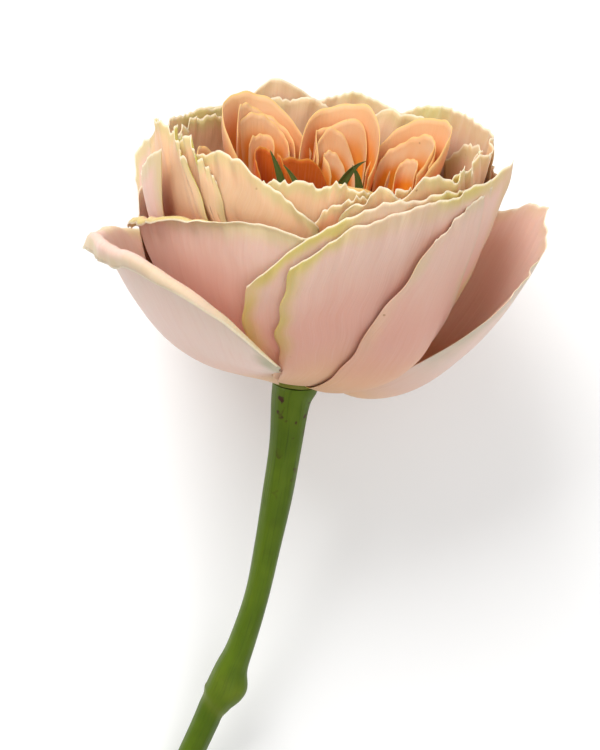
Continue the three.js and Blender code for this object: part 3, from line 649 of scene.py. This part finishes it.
def receptacle_piece():
    outline = [(4.5, -2.0), (5.2, -1.9), (5.2, -1.7), (4.7, -0.7), (4.0, 0.5), (3.5, 1.5), (3.1, 2.6), (2.7, 3.4),
               (1.6, 3.9)]
    bpy.ops.mesh.primitive_cylinder_add(vertices=40, radius=1, depth=1, end_fill_type="NGON", calc_uvs=True)
    piece = bpy.context.active_object
    piece.name = piece.data.name = "receptacle_seat"
    select_only(piece)
    select_long_edges(piece, 0.5)
    bpy.ops.mesh.subdivide_edgering(number_cuts=len(outline) - 2, interpolation="LINEAR")
    bpy.ops.object.mode_set(mode="OBJECT")
    co = np.zeros(len(piece.data.vertices) * 3)
    piece.data.vertices.foreach_get("co", co)
    co = co.reshape(-1, 3)
    k = np.rint((co[:, 2] + 0.5) * (len(outline) - 1)).astype(int)
    angle = np.arctan2(co[:, 1], co[:, 0])
    o = np.array(outline)[k]
    head = np.stack([o[:, 0] * np.cos(angle), o[:, 0] * np.sin(angle), o[:, 1]], 1)
    piece.data.vertices.foreach_set("co", in_head(head).ravel())
    piece.data.attributes.new("mark", "FLOAT", "POINT")
    piece.data.materials.append(SEAT_GREEN)
    piece.data.update()
    smooth_closed(piece, 50)
    finish_piece(piece, "receptacle")


# foot, bend and tip of each leaflet
LEAFLETS = [
    ("leaflet_a", (-2.6, 1.4, 14), (-3.8, 3.6, 37), (-9.4, 2.0, 45.4)),
    ("leaflet_b", (-0.6, 2.6, 14), (1.6, 5.4, 37), (-6.6, 4.2, 43.4)),
    ("leaflet_c", (1.8, 1.0, 14), (2.4, 2.4, 43), (9.4, 1.6, 45.0)),
    ("leaflet_d", (3.4, 3.0, 14), (12.0, 4.6, 38.5), (6.8, 3.4, 44.4)),
]


def leaflet_piece(name, foot, bend, tip):
    across, up = 10, 50
    x = np.linspace(0, 1, up + 1)[:, None]
    s = np.linspace(-1, 1, across + 1)[None, :]
    wide = 1.15 * np.sin(np.pi * (0.16 + 0.84 * x)) ** 0.8
    foot, bend, tip = (np.array(v, float) for v in (foot, bend, tip))
    reach = x[..., None]
    middle = (1 - reach) ** 2 * foot + 2 * reach * (1 - reach) * bend + reach ** 2 * tip
    points = middle + np.stack([wide * s, 0.35 * s ** 2 * np.minimum(1, wide), 0 * s * x], -1)
    free = np.abs(1 - np.abs(s)) * wide
    piece = petal_sheet(name + "_blade", points, free, across, up, LEAFLET_THICK, (LEAF_GREEN, LEAF_GREEN))
    piece.data.attributes.new("mark", "FLOAT", "POINT")
    finish_piece(piece, name)


stem_piece()
receptacle_piece()
for leaflet in LEAFLETS:
    leaflet_piece(*leaflet)


# ---------------------------------------------------------------- floor, light and camera
def floor():
    bpy.ops.mesh.primitive_plane_add(size=3.0, location=(0, 0, -FLOOR_DROP))
    ground = bpy.context.active_object
    ground.name = ground.data.name = "studio_floor"
    n = Nodes("studio floor")
    n.bsdf.inputs["Base Color"].default_value = (0.97, 0.97, 0.965, 1)
    n.bsdf.inputs["Roughness"].default_value = 0.85
    n.bsdf.inputs["Specular IOR Level"].default_value = 0.1
    ground.data.materials.append(n.m)


def soft_light(name, where, size, power):
    bpy.ops.object.light_add(type="AREA", location=where)
    lamp = bpy.context.active_object
    lamp.name = name
    lamp.data.shape = "SQUARE"
    lamp.data.size = size
    lamp.data.energy = power
    aim = np.array([BASE[0], BASE[1], 0.02]) - np.array(where)
    flat = math.hypot(aim[0], aim[1])
    lamp.rotation_euler = (math.atan2(flat, -aim[2]), 0, math.atan2(aim[1], aim[0]) - math.pi / 2)


floor()
soft_light("key_light", (-0.35, 0.85, 0.8), 0.7, 12.5)
soft_light("fill_light", (0.35, -0.2, 1.1), 0.9, 4.0)

world = bpy.data.worlds.new("studio")
world.use_nodes = True
world.node_tree.nodes["Background"].inputs["Color"].default_value = (1, 1, 1, 1)
world.node_tree.nodes["Background"].inputs["Strength"].default_value = 0.55
bpy.context.scene.world = world
bpy.context.scene.view_settings.view_transform = "Standard"

bpy.ops.object.camera_add(location=(BASE[0] + 0.0006, BASE[1] - 0.0006, BASE[2] + 0.625), rotation=(0, 0, 0))
camera = bpy.context.active_object
camera.name = "camera_above"
camera.data.lens = 150
camera.data.sensor_width = 36
camera.data.sensor_fit = "AUTO"
camera.data.clip_start = 0.01
bpy.context.scene.camera = camera
